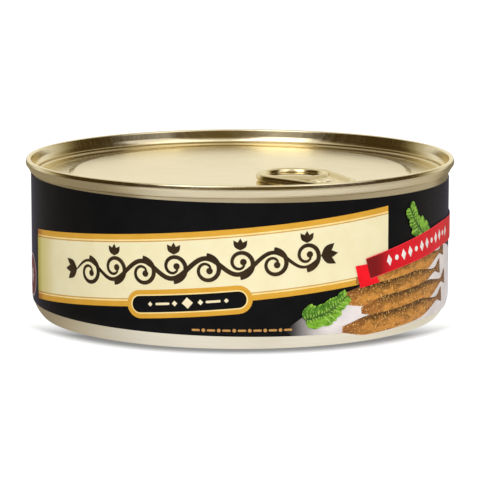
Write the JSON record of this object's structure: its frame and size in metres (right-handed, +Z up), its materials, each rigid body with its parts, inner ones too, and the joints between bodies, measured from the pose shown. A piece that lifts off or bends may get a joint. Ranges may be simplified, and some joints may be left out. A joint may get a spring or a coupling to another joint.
{
  "type": "tin of sprats",
  "caption": "Shut shallow round fish tin with a rolled seam, a stepped ring-pull lid, a rounded lower corner and a printed paper band.",
  "frame": {"origin": "middle of the base, at the level the tin stands on", "axes": "+Z up through the lid along the tin's axis, -Y towards the front of the label, +X to the right of someone who faces that front"},
  "size_m": [0.1023, 0.1022, 0.0377],
  "materials": {
    "tinplate": "pale gold lacquer on bright tinplate, smooth and glossy",
    "lid_metal": "gold lacquer on bright metal, smooth and glossy",
    "tab_metal": "gold lacquer on bright metal, smooth and glossy",
    "printed_paper": "glossy coated paper, printed black with cream, gold, red and green fields"
  },
  "bodies": {
    "root": {"can_body": "tinplate", "lid": "lid_metal", "pull_tab": "tab_metal", "label": "printed_paper"}
  },
  "joints": []
}
